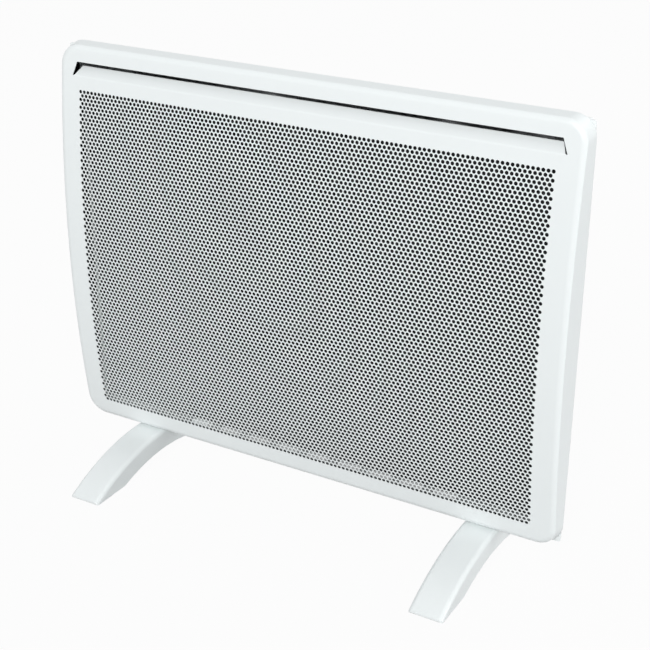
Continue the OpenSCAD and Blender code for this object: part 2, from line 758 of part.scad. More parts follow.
module thermostat_knob() color([0.94, 0.94, 0.93]) {
    r = knob_d / 2;
    skirt = 3;
    flutes = 18;
    translate([knob_x, knob_y, knob_z]) difference() {
        union() {
            rotate_extrude() difference() {
                union() {
                    square([r, skirt]);
                    square([r - 3, knob_h - 2]);
                    square([r - 5, knob_h]);
                    translate([r - 5, knob_h - 2]) circle(r = 2);
                }
                translate([-5, -1]) square([5, knob_h + 2]);
            }
            translate([-1, 0, knob_h - 1]) cube([2, r - 5, 1.8]);
        }
        difference() {
            translate([0, 0, -1]) cylinder(r = r - 5.5, h = knob_h - 2);
            translate([0, 0, -2]) cylinder(d = shaft_d + 4, h = knob_h);
        }
        translate([0, 0, -1]) cylinder(r = 9, h = 1 + 7.2);
        translate([0, 0, -1]) cylinder(r = shaft_d / 2 + 0.02, h = knob_h - 3 + 0.1);
        for (i = [0 : flutes - 1]) rotate(i * 360 / flutes + 10) translate([r - 2.4, 0, skirt + 1])
            cylinder(r = 1, h = knob_h);
    }
}

// Rocker switch: snap-in frame, rocker on two pins, tabs below
frame_len = rocker_len + 2.6;
frame_w = rocker_w + 3;
pivot_z = housing_high + 0.4;
tilt = 8;
module switch_frame() color([0.16, 0.16, 0.17]) {
    translate([switch_x, knob_y, 0]) difference() {
        union() {
            translate([0, 0, housing_high]) linear_extrude(1.6)
                rounded_rect(-frame_len / 2 - 1.8, frame_len / 2 + 1.8, -frame_w / 2 - 1.8, frame_w / 2 + 1.8, 1.5);
            translate([-frame_len / 2, -frame_w / 2, top_wall_z - 12]) cube([frame_len, frame_w, housing_wall + 12.5]);
        }
        translate([-rocker_len / 2 - 0.4, -rocker_w / 2 - 0.2, pivot_z - 9])
            cube([rocker_len + 0.8, rocker_w + 0.4, 20]);
        translate([0, -frame_w, pivot_z]) rotate([-90, 0, 0]) cylinder(r = 1.5, h = 2 * frame_w);
    }
}

module switch_tabs() color([0.8, 0.66, 0.35]) {
    for (i = [-1 : 1]) translate([switch_x + i * 7 - 0.4, knob_y - 2.4, top_wall_z - 12 - 7.2]) cube([0.8, 4.8, 7.2]);
}

module switch_rocker() color([0.2, 0.2, 0.21]) {
    reach = rocker_len / 2 - 0.3;
    translate([switch_x, knob_y, pivot_z]) rotate([0, -tilt, 0]) {
        translate([0, rocker_w / 2, 0]) rotate([90, 0, 0]) linear_extrude(rocker_w) intersection() {
            circle(r = reach);
            difference() {
                translate([-reach, -4]) square([2 * reach, 4 + 3.4]);
                translate([0, 3.4 + 60]) circle(r = 61.4, $fn = 180);
            }
        }
        translate([0, -(rocker_w + 2.6) / 2, 0]) rotate([-90, 0, 0]) cylinder(r = 1.5 - run, h = rocker_w + 2.6);
    }
}

lens_x = housing_x - 2;
module indicator_lens() color([0.9, 0.45, 0.15]) {
    translate([lens_x, knob_y, 0]) {
        translate([0, 0, top_wall_z - 3]) cylinder(r = 3, h = housing_wall + 3.1);
        translate([0, 0, housing_high]) cylinder(r1 = 3.8, r2 = 3, h = 1);
        translate([0, 0, housing_high + 0.5]) intersection() {
            sphere(r = 2.8);
            translate([-3, -3, 0]) cube([6, 6, 3]);
        }
    }
}

// Printed board with its relay, capacitors and resistors
module control_board() color([0.1, 0.4, 0.2]) {
    length = housing_w - 2 * housing_wall - 1.6;
    width = housing_depth - 2 * housing_wall - 10;
    translate([housing_x, housing_y + 6.5 + width / 2, board_z]) difference() {
        union() {
            translate([-length / 2, -width / 2, 0]) cube([length, width, 1.6]);
            translate([-20, -10, -14]) cube([19, 15, 14.5]);
            translate([length / 2 - 34, -12, -15]) cube([28, 13, 15.5]);
            for (i = [0 : 2]) translate([6 + i * 8, -6, -11]) cylinder(r = 3.6, h = 11.5);
            for (i = [0 : 3]) translate([-12 + i * 7, 6, -3]) cube([2.4, 6, 3.5]);
        }
        translate([switch_x - housing_x, 0, -1]) linear_extrude(4) square([20, 10], center = true);
    }
}

module terminal_block() color(ceramic) {
    pole = 12;
    translate([housing_x - 1.5 * pole, housing_y, housing_low + 33]) difference() {
        union() {
            cube([3 * pole, 6, 18]);
            for (i = [0 : 2]) translate([i * pole + 1, 5, 1]) cube([pole - 2, 11, 16]);
        }
        for (i = [0 : 2]) translate([(i + 0.5) * pole, 10, -1]) cylinder(r = 2, h = 20);
        for (i = [0 : 2], z = [4.5, 13.5]) translate([(i + 0.5) * pole, 11, z]) rotate([-90, 0, 0]) cylinder(r = 2.2, h = 6);
    }
}

// Inlet gland in the housing's bottom wall, with no cord in it
gland_r = 7;
gland_x = housing_x - housing_w * 0.18;
gland_y = housing_y + housing_depth / 2 + 4;
module cable_gland() color(rubber) {
    translate([gland_x, gland_y, housing_low]) difference() {
        union() {
            cylinder(r = gland_r, h = 11);
            translate([0, 0, -4]) cylinder(r = 10, h = 4, $fn = 6);
            translate([0, 0, -9]) cylinder(r1 = 6.4, r2 = 8, h = 5.5);
        }
        translate([0, 0, -10]) cylinder(d = cord_way_d, h = 22);
    }
}

module gland_nut() color(rubber) {
    translate([gland_x, gland_y, housing_low + housing_wall]) difference() {
        cylinder(r = 10.5, h = 4, $fn = 6);
        translate([0, 0, -1]) cylinder(r = gland_r + run, h = 6);
    }
}

// Room temperature sensor held by a clip low in the tray
sensor_x = 130;
sensor_z = tray_low + 30;
sensor_y = tray_back - tray_t - 6.3;
module room_sensor() color([0.15, 0.15, 0.16]) {
    translate([sensor_x, sensor_y, sensor_z]) rotate([0, 90, 0]) {
        cylinder(r = 2.5, h = 22);
        sphere(r = 2.5);
    }
}

module sensor_clip() color(plastic) {
    wall_y = tray_back - tray_t;
    translate([sensor_x + 8, 0, sensor_z]) difference() {
        union() {
            translate([0, wall_y - 3, -5]) cube([8, 3, 10]);
            translate([0, sensor_y, 0]) rotate([0, 90, 0]) cylinder(r = 4, h = 8);
        }
        translate([-1, sensor_y, 0]) rotate([0, 90, 0]) cylinder(r = 2.5 + run, h = 10);
        translate([-1, sensor_y - 6, -1.8]) cube([10, 6, 3.6]);
    }
}

// Feet: hollow arched mouldings
foot_x = half_w - foot_side_gap;
half_len = foot_len / 2;
back_centre = foot_h - foot_back_r;
arch_r = (pow(arch_len / 2, 2) + pow(arch_h, 2)) / (2 * arch_h);
saddle_front = back_y - 6;
saddle_back = tray_back - 2;
foot_screw_y = [tray_y + tray_depth * 0.25, tray_y + tray_depth * 0.78];
foot_head_z = 20;
foot_screw_r = 1.75;
foot_hole_d = 3.9;
pad_y = half_len - 8 - pad_len / 2;

module at_foot_screws() {
    for (side = [-1, 1], y = foot_screw_y) translate([side * foot_x, y, 0]) children();
}

// Side view under the arched back: flat tips, the arch between them and round ends
module foot_side(inset) {
    tip = 2.4;
    difference() {
        union() {
            translate([tip - half_len + inset, pad_proud]) square([foot_len - 2 * tip - 2 * inset, foot_h + 8]);
            translate([inset - half_len, pad_proud + tip]) square([foot_len - 2 * inset, foot_h + 6]);
            for (side = [-1, 1]) translate([side * (half_len - tip - inset), pad_proud + tip]) circle(r = tip);
        }
        translate([0, arch_h - arch_r]) circle(r = arch_r + inset, $fn = 180);
    }
}

module foot_back(inset) {
    r = foot_edge_r - inset / 2;
    half = foot_w / 2 - inset;
    radius = foot_back_r - inset;
    spread = 2 * asin(half_len / foot_back_r) + 4;
    depth = foot_h + 30;
    translate([0, 0, back_centre]) rotate([0, 90, 0]) rotate([0, 0, 180 - spread / 2])
        rotate_extrude(angle = spread, $fn = 240) {
            translate([radius - depth, -half]) square([depth - r, 2 * half]);
            translate([radius - depth, r - half]) square([depth, 2 * (half - r)]);
            for (side = [-1, 1]) translate([radius - r, side * (half - r)]) circle(r = r);
        }
}

// Outline of a foot from above, its tips' corners rounded
module foot_plan() {
    ease = 0.02;
    half = foot_w / 2 + ease;
    linear_extrude(foot_h + 10) rounded_rect(-half, half, -half_len - ease, half_len + ease, foot_tip_r);
}

module foot() {
    floor_y = arch_len / 2 + 2;
    difference() {
        union() {
            difference() {
                intersection() {
                    sideways(-foot_w, foot_w) foot_side(0);
                    foot_back(0);
                    foot_plan();
                }
                intersection() {
                    foot_back(foot_wall);
                    translate([-foot_w, -floor_y, -1]) cube([2 * foot_w, 2 * floor_y, foot_h + 4]);
                }
            }
            intersection() {
                foot_back(1);
                union() {
                    for (y = foot_screw_y) translate([0, y, foot_head_z - 6]) cylinder(r = 8, h = foot_h);
                    for (y = [-45, -15, 15, 45]) translate([-foot_w / 2, y - 1, arch_h + 1]) cube([foot_w, 2, foot_h]);
                }
            }
            translate([-foot_w / 2 + 4, saddle_front, foot_h - 5])
                cube([foot_w - 8, saddle_back - saddle_front, casing_z - seat - foot_h + 5]);
            translate([-foot_w / 2 + 4, tray_y + tray_t + 1, foot_h - 5])
                cube([foot_w - 8, saddle_back - tray_y - tray_t - 1, tray_low - seat - foot_h + 5]);
        }
        for (side = [-1, 1]) translate([0, side * pad_y, -1]) linear_extrude(1 + pad_proud + 2)
            rounded_rect(-pad_w / 2 - run, pad_w / 2 + run, -pad_len / 2 - run, pad_len / 2 + run, 3);
        for (y = foot_screw_y) translate([0, y, 0]) {
            cylinder(d = foot_hole_d, h = casing_z + 20);
            translate([0, 0, -1]) cylinder(r = 4.5, h = 1 + foot_head_z);
        }
    }
}

module left_foot() color(white) translate([-foot_x, 0, 0]) foot();
module right_foot() color(white) translate([foot_x, 0, 0]) foot();

module foot_pads() color(rubber) {
    for (x = [-foot_x, foot_x], side = [-1, 1]) translate([x, side * pad_y, 0]) linear_extrude(pad_proud + 2)
        rounded_rect(-pad_w / 2, pad_w / 2, -pad_len / 2, pad_len / 2, 3 - run);
}

module foot_screws() color(zinc) {
    at_foot_screws() translate([0, 0, foot_head_z]) screw(foot_screw_r, tray_low + tray_t + 5.5 - foot_head_z, 3.6, 2.4);
}

module foot_nuts() color(zinc) {
    at_foot_screws() translate([0, 0, tray_low + tray_t]) difference() {
        cylinder(r = 3.6, h = 3, $fn = 6);
        translate([0, 0, -1]) cylinder(r = foot_screw_r + run, h = 6);
    }
}

front_panel();
rear_tray();
radiant_plate();
heating_element();
element_clips();
element_seals();
element_studs();
reflector();
left_upright();
right_upright();
plate_bushes();
plate_screws();
upright_screws();
outlet_deflector();
deflector_rivets();
overheat_cutout();
cutout_screws();
control_housing();
housing_screws();
control_board();
thermostat_body();
thermostat_nut();
thermostat_shaft();
thermostat_knob();
switch_frame();
switch_tabs();
switch_rocker();
indicator_lens();
terminal_block();
cable_gland();
gland_nut();
room_sensor();
sensor_clip();
casing_screws();
left_foot();
right_foot();
foot_pads();
foot_screws();
foot_nuts();
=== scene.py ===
# %% [markdown]
# # A radiant heater, dressed around its CAD model
# The heater is a white sheet-steel casing with a finely perforated, bowed front, on two long arched feet.
# The CAD model gives every part's place. This lesson gives the parts their looks: it models the front
# again with all its small holes, makes the finishes, and prints the marks on the controls.

# %% Load the CAD model as a fixed frame
import json
import math

import bpy
import numpy as np
from mathutils import Matrix, Vector


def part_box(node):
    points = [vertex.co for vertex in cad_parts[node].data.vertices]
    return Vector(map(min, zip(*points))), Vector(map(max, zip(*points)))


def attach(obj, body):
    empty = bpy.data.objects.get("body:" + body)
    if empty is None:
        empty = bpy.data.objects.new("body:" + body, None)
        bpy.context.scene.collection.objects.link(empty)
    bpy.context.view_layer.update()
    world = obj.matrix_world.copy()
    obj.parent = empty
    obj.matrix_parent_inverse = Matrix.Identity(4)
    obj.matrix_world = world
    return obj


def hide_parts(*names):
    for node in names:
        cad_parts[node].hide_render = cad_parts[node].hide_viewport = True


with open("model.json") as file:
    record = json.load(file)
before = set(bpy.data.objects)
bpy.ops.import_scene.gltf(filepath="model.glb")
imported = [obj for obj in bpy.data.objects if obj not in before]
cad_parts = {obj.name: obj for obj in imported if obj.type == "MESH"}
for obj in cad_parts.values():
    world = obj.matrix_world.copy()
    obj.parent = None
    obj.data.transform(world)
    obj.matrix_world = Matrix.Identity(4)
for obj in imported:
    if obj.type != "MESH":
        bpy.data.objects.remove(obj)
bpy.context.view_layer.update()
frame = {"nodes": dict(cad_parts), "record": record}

MM = 0.001
record = frame["record"]


# %% [markdown]
# ## Camera
# The photograph was taken from the front right and from above, with a long lens. Its place was worked out
# from the casing's corners and the rows of holes, so only the numbers are needed here.
# A camera looks along its own -Z, so its turn comes from the direction of its view.

# %% Set up the camera
CAMERA_PLACE = (0.6788, -1.12525, 0.8315)
CAMERA_VIEW = (-0.4535, 0.7856, -0.4209)
LENS, FILM_WIDTH = 75.15, 36

lens = bpy.data.cameras.new("camera")
lens.lens, lens.sensor_width = LENS, FILM_WIDTH
camera = bpy.data.objects.new("camera", lens)
camera.location = CAMERA_PLACE
camera.rotation_euler = Vector(CAMERA_VIEW).to_track_quat("-Z", "Y").to_euler()
bpy.context.scene.collection.objects.link(camera)
bpy.context.scene.camera = camera
print("camera", CAMERA_PLACE, "lens", LENS)


# %% [markdown]
# ## Hands for modelling
# By hand, a piece is modelled by selecting some of its faces, edges or corners and using a tool on them.
# In a script, the same tools are called as operators, and these few helpers do the selecting, by place and
# by normal. Corners could also be written out as numbers, but then no step of the making could be followed.
# All lengths are in millimetres here. The CAD parts are selected after loading, so everything is let go
# before a new piece is started.

# %% Helpers that measure
def mm(*lengths):
    """Lengths in millimetres, as Blender's metres."""
    return tuple(length * MM for length in lengths)


def near(values, value, reach=0.02):
    """Which of the values lie within reach of the value."""
    return np.abs(values - value) < reach


def column(items, what, width):
    """One property of all the corners, edges or faces of a mesh, a row for each."""
    values = np.empty(len(items) * width, dtype=np.int32 if what == "vertices" else np.float32)
    items.foreach_get(what, values)
    return values.reshape(-1, width)


def corners(piece):
    """The places of a piece's corners, in millimetres."""
    return column(piece.data.vertices, "co", 3) / MM


def size(piece):
    """A line to print: the piece's faces, and its lowest and highest corner."""
    faces, place = len(piece.data.polygons), corners(piece).round(2)
    return f"{piece.name}: {faces} faces, {place.min(0)} to {place.max(0)}"


# %% Helpers that select
def object_mode():
    bpy.ops.object.mode_set(mode="OBJECT")


def edit_mode():
    bpy.ops.object.mode_set(mode="EDIT")


def alone(*pieces):
    """Selects only these pieces. The first one is the active one."""
    if bpy.context.object and bpy.context.object.mode != "OBJECT":
        object_mode()
    bpy.ops.object.select_all(action="DESELECT")
    for piece in pieces:
        piece.select_set(True)
    bpy.context.view_layer.objects.active = pieces[0] if pieces else None


def select_all(piece):
    """Selects the whole piece in edit mode."""
    alone(piece)
    edit_mode()
    bpy.ops.mesh.select_all(action="SELECT")


def select(piece, kind, test):
    """Selects in edit mode what passes the test. The test gets x, y, z in mm for corners, x, y, z and the
    normal for faces, and both ends' x, y, z for edges."""
    alone(piece)
    edit_mode()
    bpy.ops.mesh.select_mode(type=kind)
    bpy.ops.mesh.select_all(action="DESELECT")
    object_mode()
    mesh, place = piece.data, corners(piece)
    if kind == "VERT":
        chosen, items = test(*place.T), mesh.vertices
    elif kind == "EDGE":
        ends = column(mesh.edges, "vertices", 2)
        chosen, items = test(place[ends[:, 0]].T, place[ends[:, 1]].T), mesh.edges
    else:
        middle, normal = column(mesh.polygons, "center", 3) / MM, column(mesh.polygons, "normal", 3)
        chosen, items = test(*middle.T, normal.T), mesh.polygons
    items.foreach_set("select", chosen)
    edit_mode()
    return int(np.sum(chosen))


# %% Helpers that start and finish a piece
SMOOTH_BELOW, FLAT_WEIGHT = math.radians(30), 80


def start(name):
    """Names the primitive that was just added, and puts its place in its mesh."""
    piece = bpy.context.object
    piece.name = name
    piece.data.name = name
    bpy.ops.object.transform_apply(location=True, rotation=True, scale=True)
    return piece


def modify(piece, kind, **settings):
    """Adds a modifier, sets it and applies it."""
    alone(piece)
    modifier = piece.modifiers.new(kind.lower(), kind)
    for key, value in settings.items():
        setattr(modifier, key, value)
    bpy.ops.object.modifier_apply(modifier=modifier.name)


def smooth(piece):
    """Smooth shading, except over sharp edges. Weighted normals keep the flats next to a round flat."""
    alone(piece)
    bpy.ops.object.shade_smooth_by_angle(angle=SMOOTH_BELOW)
    modify(piece, "WEIGHTED_NORMAL", keep_sharp=True, weight=FLAT_WEIGHT)


# %% [markdown]
# ## The perforated front
# The front sheet is punched with about ten thousand holes of 3.5 mm: 90 rows, each row half a hole aside
# from the one below. Cutting them out of a sheet by booleans would be slow and leave bad faces. Instead one
# hole is modelled in its own small rectangle of sheet, an Array lays it out as a row, and Spin turns the
# rows about the axis of the bow. That bends the sheet along with the holes, as the press does.
# The holes are drawn a little wider and the sheet round them thinner than they are, because only then is
# the front as dark as the real one.

# %% Sizes of the casing
# The CAD's front gives its own box: from FRONT_Y, the foremost line of the bow, to the flat back at BACK_Y.
low, high = [[round(n / MM, 1) for n in corner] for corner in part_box("front_panel")]
FRONT_Y, BACK_Y = low[1], high[1]
HALF_W, LOW_Z, HIGH_Z = high[0], low[2], high[2]
MID_Z = (LOW_Z + HIGH_Z) / 2
BOW_R, CORNER_R, EDGE_R = 1508.0, 22.0, 8.5
BOW_Y = FRONT_Y + BOW_R
SHEET, FLANGE = 0.8, 14.2

# The holes' distance along a row, the rows' distance over the bow, and the width and depth of a hole.
PITCH, ROW, HOLE_D, HOLE_WALL = 5.0, 4.2534, 3.9, 0.4
ROWS, BANDS, LONG_ROW, SHORT_ROW = 90, 3, 110, 109
TOP_ROW_Z = 441.2
FIELD_X = LONG_ROW * PITCH / 2
STEP = ROW / BOW_R
TOP_TURN = math.asin((TOP_ROW_Z - MID_Z) / BOW_R)


def bow_back(z):
    """How far the bow puts the front back at height z."""
    return BOW_R - np.sqrt(BOW_R ** 2 - (z - MID_Z) ** 2)


def row_edge(row):
    """Height of the upper edge of a row, counted down from the top."""
    return MID_Z + BOW_R * math.sin(TOP_TURN - (row - 0.5) * STEP)


print("field from", round(row_edge(0), 2), "to", round(row_edge(ROWS), 2), "mm")


# %% Give a sheet its thickness
def coat_inside(piece, wall):
    """Solidify draws the wall inwards. The first place for a finish is for its outer side, and the second
    for its inner side, which gets painted shade: a near-black finish standing in for the shade inside the
    casing. Both stay empty until the finishes are made."""
    piece.data.materials.append(None)
    piece.data.materials.append(None)
    modify(piece, "SOLIDIFY", thickness=wall * MM, offset=-1, material_offset=1, material_offset_rim=0)


# %% Model one row of holes
WELD = 0.02
# A hole has eight corners, which lie a little outside its circle.
HOLE_CORNERS, CORNER_REACH = 8, 1.03
DIAGONAL = math.sqrt(2)


def perforated_row(name, holes):
    """A flat row at the middle of the bow: a ring of corners, drawn out to its rectangle of sheet."""
    alone()
    radius = HOLE_D / 2 * CORNER_REACH
    half_w, half_h = PITCH / 2, ROW / 2
    bpy.ops.mesh.primitive_circle_add(vertices=HOLE_CORNERS, radius=radius * MM,
                                      rotation=(math.pi / 2, 0, 0))
    row = start(name)
    select_all(row)
    bpy.ops.mesh.extrude_edges_move()
    bpy.ops.transform.resize(value=(half_w / radius, 1, half_h / radius), center_override=(0, 0, 0))
    select(row, "VERT", lambda x, y, z: near(abs(x), half_w / DIAGONAL) & near(abs(z), half_h / DIAGONAL))
    bpy.ops.transform.resize(value=(DIAGONAL, 1, DIAGONAL), center_override=(0, 0, 0))
    bpy.ops.mesh.select_all(action="SELECT")
    bpy.ops.transform.translate(value=mm((1 - holes) * half_w, FRONT_Y, MID_Z))
    object_mode()
    modify(row, "ARRAY", count=holes, use_relative_offset=False, use_constant_offset=True,
           constant_offset_displace=mm(PITCH, 0, 0), use_merge_vertices=True, merge_threshold=WELD * MM)
    end = holes * half_w
    if end < FIELD_X:
        for side in (-1, 1):
            aside = mm(side * (FIELD_X - end), 0, 0)
            select(row, "VERT", lambda x, y, z: near(x, side * end))
            bpy.ops.mesh.extrude_edges_move(TRANSFORM_OT_translate={"value": aside})
            object_mode()
    return row


# %% Turn the rows into three bands of the bowed sheet
def turn_up(piece, angle):
    """Turns the piece about the axis of the bow."""
    select_all(piece)
    bpy.ops.transform.rotate(value=angle, orient_axis="X", center_override=mm(0, BOW_Y, MID_Z))
    object_mode()


def perforated_band(name, first_row, rows):
    """The two lowest rows are modelled, and Spin repeats the pair upwards."""
    lowest, pairs = first_row + rows - 1, rows // 2 - 1
    long_row, short_row = perforated_row(name, LONG_ROW), perforated_row(name + "_short", SHORT_ROW)
    turn_up(long_row, TOP_TURN - (lowest - 1) * STEP)
    turn_up(short_row, TOP_TURN - lowest * STEP)
    alone(long_row, short_row)
    bpy.ops.object.join()
    select_all(long_row)
    bpy.ops.mesh.spin(steps=pairs, dupli=True, angle=pairs * 2 * STEP, center=mm(0, BOW_Y, MID_Z),
                      axis=(1, 0, 0))
    bpy.ops.mesh.select_all(action="SELECT")
    bpy.ops.mesh.remove_doubles(threshold=WELD * MM)
    object_mode()
    faces_back = column(long_row.data.polygons, "normal", 3)[:, 1].mean() > 0
    if faces_back:
        select_all(long_row)
        bpy.ops.mesh.flip_normals()
        object_mode()
    coat_inside(long_row, HOLE_WALL)
    print(size(long_row))
    return long_row


band_rows = ROWS // BANDS
bands = [perforated_band(f"front_perforations_{band + 1}", band * band_rows, band_rows)
         for band in range(BANDS)]


# %% [markdown]
# ## The front's rim
# Round the field, the same sheet runs on to a rounded edge, back along the sides, and in again as a narrow
# flange. A cube is a good start: its four corners are bevelled, its front is inset in small steps that
# round the edge, and its back is inset and opened. Bisect then cuts it at the height of every row, so that
# it can follow the bow exactly, and round the field and the outlet slot, which are taken out. The slot's
# lower edge is drawn inwards as the lip. Last, Solidify gives the shell the thickness of the sheet.

# %% Work out the rounds of the edge
# From the back, each side leans in as far as a crease. A small round starts there, and the wide round of
# the edge follows. A round is given by the turn of its normal at both ends, its radius and its steps.
ROUNDS = [(85, 45, 0.9, 3), (45, 0, EDGE_R, 6)]

insets = []
for first, last, radius, count in ROUNDS:
    turns = [math.radians(first + (last - first) * part / count) for part in range(count + 1)]
    insets += [(radius * (math.sin(now) - math.sin(then)), radius * (math.cos(then) - math.cos(now)))
               for now, then in zip(turns, turns[1:])]
crease_y = FRONT_Y + sum(depth for width, depth in insets)
crease_in = EDGE_R - sum(width for width, depth in insets)
print(len(insets), "insets, crease at", round(crease_y, 2), "and", round(crease_in, 2), "mm in")


# %% Shape the rim from a cube
CORNER_STEPS = 12
# A face looks forwards or back by at least this share of its normal, and an edge that runs back leans in by
# less than this.
FACING, LEAN = 0.9, 3.0


def looks_forwards(x, y, z, normal):
    return normal[1] < -FACING


def looks_back(x, y, z, normal):
    return normal[1] > FACING


def runs_back(a, b):
    return near(a[0], b[0], LEAN) & near(a[2], b[2], LEAN)


alone()
bpy.ops.mesh.primitive_cube_add(size=1, location=mm(0, (crease_y + BACK_Y) / 2, MID_Z),
                                scale=mm(2 * HALF_W, BACK_Y - crease_y, HIGH_Z - LOW_Z))
rim = start("front_rim")
select(rim, "FACE", looks_forwards)
bpy.ops.transform.resize(value=(1 - crease_in / HALF_W, 1, 1 - 2 * crease_in / (HIGH_Z - LOW_Z)),
                         center_override=mm(0, 0, MID_Z))
select(rim, "EDGE", runs_back)
bpy.ops.mesh.bevel(offset=CORNER_R * MM, segments=CORNER_STEPS, clamp_overlap=False)
select(rim, "FACE", looks_forwards)
for width, depth in insets:
    bpy.ops.mesh.inset(thickness=width * MM, depth=depth * MM)
select(rim, "FACE", looks_back)
bpy.ops.mesh.inset(thickness=FLANGE * MM)
bpy.ops.mesh.delete(type="FACE")
object_mode()
print(size(rim))


# %% Cut the rim at every row, and round the slot and the field
# The slot is a little wider at the fold, its lower edge, and a slit at each end parts it from the lip.
SLOT_HIGH, FOLD_Z = 472.7, 457.9
SLOT_HALF, FOLD_HALF, SLIT = 278.0, 283.6, 2.0
ROWS_ABOVE, ROWS_BELOW = 10, 5
FLAT, CUT_REACH = 0.01, 0.001


def cut(piece, point, normal, test=None):
    """Bisects the piece, or those of its faces that pass the test, with a plane."""
    if test is None:
        select_all(piece)
    else:
        select(piece, "FACE", test)
    bpy.ops.mesh.bisect(plane_co=mm(*point), plane_no=normal, threshold=CUT_REACH * MM)
    object_mode()


def on_front(x, y, z, normal):
    return near(y, FRONT_Y, FLAT)


def above_field(x, y, z, normal):
    return on_front(x, y, z, normal) & (z > row_edge(0)) & (z < SLOT_HIGH)


def beside_slot(x, y, z, normal):
    return on_front(x, y, z, normal) & (z > FOLD_Z) & (z < SLOT_HIGH)


levels = [row_edge(row) for row in range(-ROWS_ABOVE, ROWS + ROWS_BELOW + 1)] + [SLOT_HIGH, FOLD_Z]
for level in levels:
    cut(rim, (0, 0, level), (0, 0, 1))
for side in (-1, 1):
    slant = Vector((SLOT_HIGH - FOLD_Z, 0, side * (FOLD_HALF - SLOT_HALF))).normalized()
    cut(rim, (side * FIELD_X, 0, 0), (1, 0, 0), test=on_front)
    cut(rim, (side * (FOLD_HALF - SLIT), 0, 0), (1, 0, 0), test=above_field)
    cut(rim, (side * SLOT_HALF, 0, SLOT_HIGH), slant, test=beside_slot)
print(size(rim))


# %% Take out the field and the slot
def in_field(x, y, z, normal):
    return on_front(x, y, z, normal) & (abs(x) < FIELD_X) & (z < row_edge(0)) & (z > row_edge(ROWS))


def in_slot(x, y, z, normal):
    slanted_half = SLOT_HALF + (SLOT_HIGH - z) / (SLOT_HIGH - FOLD_Z) * (FOLD_HALF - SLOT_HALF)
    return beside_slot(x, y, z, normal) & (abs(x) < slanted_half)


taken = select(rim, "FACE", lambda *at: in_field(*at) | in_slot(*at))
bpy.ops.mesh.delete(type="FACE")
object_mode()
print("faces taken out:", taken)


# %% Bow the rim
# What lies ahead of the crease moves back with the bow. The side walls behind it are only made shorter, so
# that the back stays flat. What is this close to the crease or the back counts as on it.
CLOSE = 0.1
wall_depth = BACK_Y - crease_y


def on_wall(x, y, z, level):
    return (z.round(2) == level) & (y > crease_y + CLOSE) & (y < BACK_Y - CLOSE)


def ahead(x, y, z, level):
    return (z.round(2) == level) & (y < crease_y + CLOSE)


for level in np.unique(corners(rim)[:, 2].round(2)):
    back = float(bow_back(level))
    if select(rim, "VERT", lambda *at: on_wall(*at, level)):
        bpy.ops.transform.resize(value=(1, 1 - back / wall_depth, 1), center_override=mm(0, BACK_Y, 0))
    select(rim, "VERT", lambda *at: ahead(*at, level))
    bpy.ops.transform.translate(value=mm(0, back, 0))
    object_mode()
print(size(rim))


# %% Fold the lip, and give the rim its thickness
LIP, LIP_TURN = 13.3, math.radians(47)
FOLD_R, FOLD_STEPS = 1.0, 3
fold_y = FRONT_Y + float(bow_back(FOLD_Z))
lip_half = FOLD_HALF - SLIT


def on_fold(x, y, z):
    return near(z, FOLD_Z) & near(y, fold_y) & (abs(x) < lip_half + CLOSE)


def along_fold(a, b):
    return on_fold(*a) & on_fold(*b)


select(rim, "EDGE", along_fold)
bpy.ops.mesh.extrude_edges_move(TRANSFORM_OT_translate={
    "value": mm(0, LIP * math.sin(LIP_TURN), LIP * math.cos(LIP_TURN))})
bpy.ops.transform.resize(value=((SLOT_HALF - SLIT) / lip_half, 1, 1), center_override=(0, 0, 0))
select(rim, "EDGE", along_fold)
bpy.ops.mesh.bevel(offset=FOLD_R * MM, segments=FOLD_STEPS, clamp_overlap=False)
object_mode()
coat_inside(rim, SHEET)
smooth(rim)
print(size(rim))

for piece in bands + [rim]:
    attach(piece, "casing")
    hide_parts("front_panel")


# %% [markdown]
# ## Finishes
# A finish is worked out from the surface's own place in space, in metres, so that its grain has a real
# size. Sums on such values are easiest to read as Python sums. The class below lets a value from one node
# be added to, multiplied and so on, and each sum becomes a Math node.

# %% A value that can be used in sums
class Value:
    """What comes out of a shader node."""

    def __init__(self, shading, socket):
        self.shading, self.socket = shading, socket

    def other(self, name):
        """Another value that comes out of the same node."""
        return Value(self.shading, self.socket.node.outputs[name])

    def sum(self, operation, first, second):
        """Adds a Math node, and gives what comes out of it."""
        return self.shading.node("ShaderNodeMath", {"operation": operation}, {0: first, 1: second})

    def __add__(self, other):
        return self.sum("ADD", self, other)

    def __radd__(self, other):
        return self.sum("ADD", other, self)

    def __sub__(self, other):
        return self.sum("SUBTRACT", self, other)

    def __rsub__(self, other):
        return self.sum("SUBTRACT", other, self)

    def __mul__(self, other):
        return self.sum("MULTIPLY", self, other)

    def __rmul__(self, other):
        return self.sum("MULTIPLY", other, self)

    def at_most(self, limit):
        return self.sum("MINIMUM", self, limit)


# %% Trees of shader nodes, and finishes
class Shading:
    """A tree of shader nodes, of a finish or of the world."""

    def __init__(self, tree):
        self.tree = tree

    def node(self, kind, settings, sockets, out=0):
        """Adds a node: first its settings, then the values or links of its sockets."""
        made = self.tree.nodes.new(kind)
        for key, value in settings.items():
            setattr(made, key, value)
        for key, value in sockets.items():
            self.join(value, made.inputs[key])
        return Value(self, made.outputs[out])

    def join(self, value, socket):
        """Links a value from another node to the socket, or sets the socket to a number or a colour."""
        if isinstance(value, Value):
            self.tree.links.new(value.socket, socket)
        elif socket.type == "RGBA":
            socket.default_value = (*value, 1)
        else:
            socket.default_value = value

    def seen(self):
        """1 for what the camera sees, also in metal and through glass, and 0 for what lights the scene."""
        rays = self.node("ShaderNodeLightPath", {}, {}, "Is Camera Ray")
        return (rays + rays.other("Is Glossy Ray") + rays.other("Is Transmission Ray")).at_most(1)


